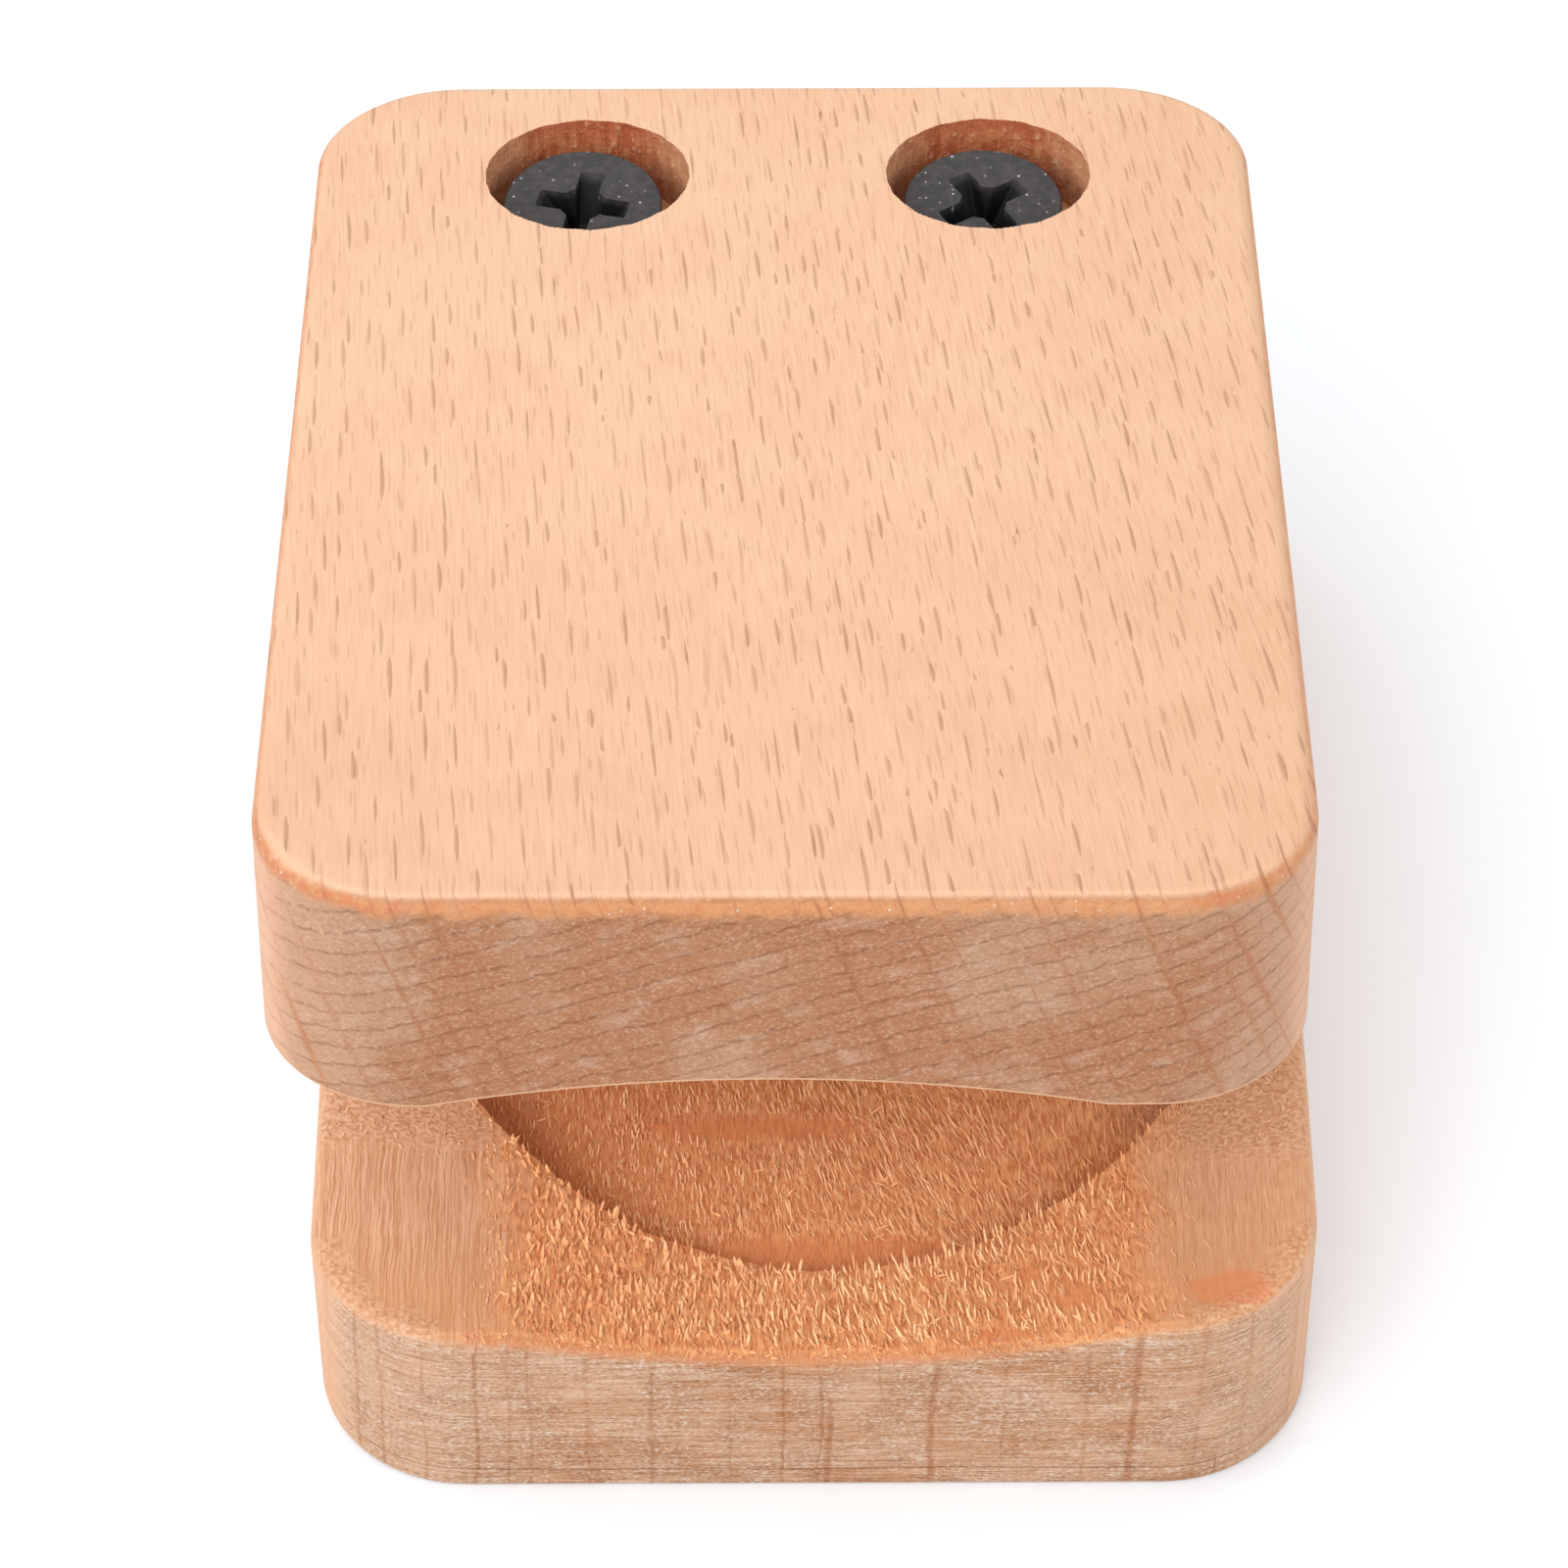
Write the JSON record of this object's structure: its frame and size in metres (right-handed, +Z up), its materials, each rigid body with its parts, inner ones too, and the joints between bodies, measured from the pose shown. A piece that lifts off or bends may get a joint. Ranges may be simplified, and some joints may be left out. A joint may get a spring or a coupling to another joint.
{
  "type": "cajon castanet",
  "caption": "Hollowed beech boards screwed together over a rubber wedge; the upper board is struck, claps shut at the front and springs open again.",
  "frame": {"origin": "centre of the lower board's flat underside, where it is fixed to the cajon", "axes": "+Z up out of the fixing face, -Y out of the open mouth towards the player, +X to the player's right"},
  "size_m": [0.0575, 0.0823, 0.0455],
  "materials": {
    "lower_beech": "bare sawn and milled beech, fuzzy where it is hollowed",
    "upper_beech": "bare sanded beech, satin",
    "black_steel": "matt black coating",
    "black_rubber": "matt moulded rubber"
  },
  "bodies": {
    "base": {"lower_board": "lower_beech", "left_screw": "black_steel", "right_screw": "black_steel", "rubber_wedge": "black_rubber"},
    "clapper": {"upper_board": "upper_beech"}
  },
  "joints": [
    {"name": "clap", "type": "hinge", "parent": "base", "child": "clapper", "pos_m": [-0.0015, 0.031, 0.02923], "axis": [1, 0, 0], "range_deg": [0, 14.5], "stiffness_Nm_per_rad": 1.5, "springref_deg": -1.72, "deforming": ["rubber_wedge"]}
  ]
}
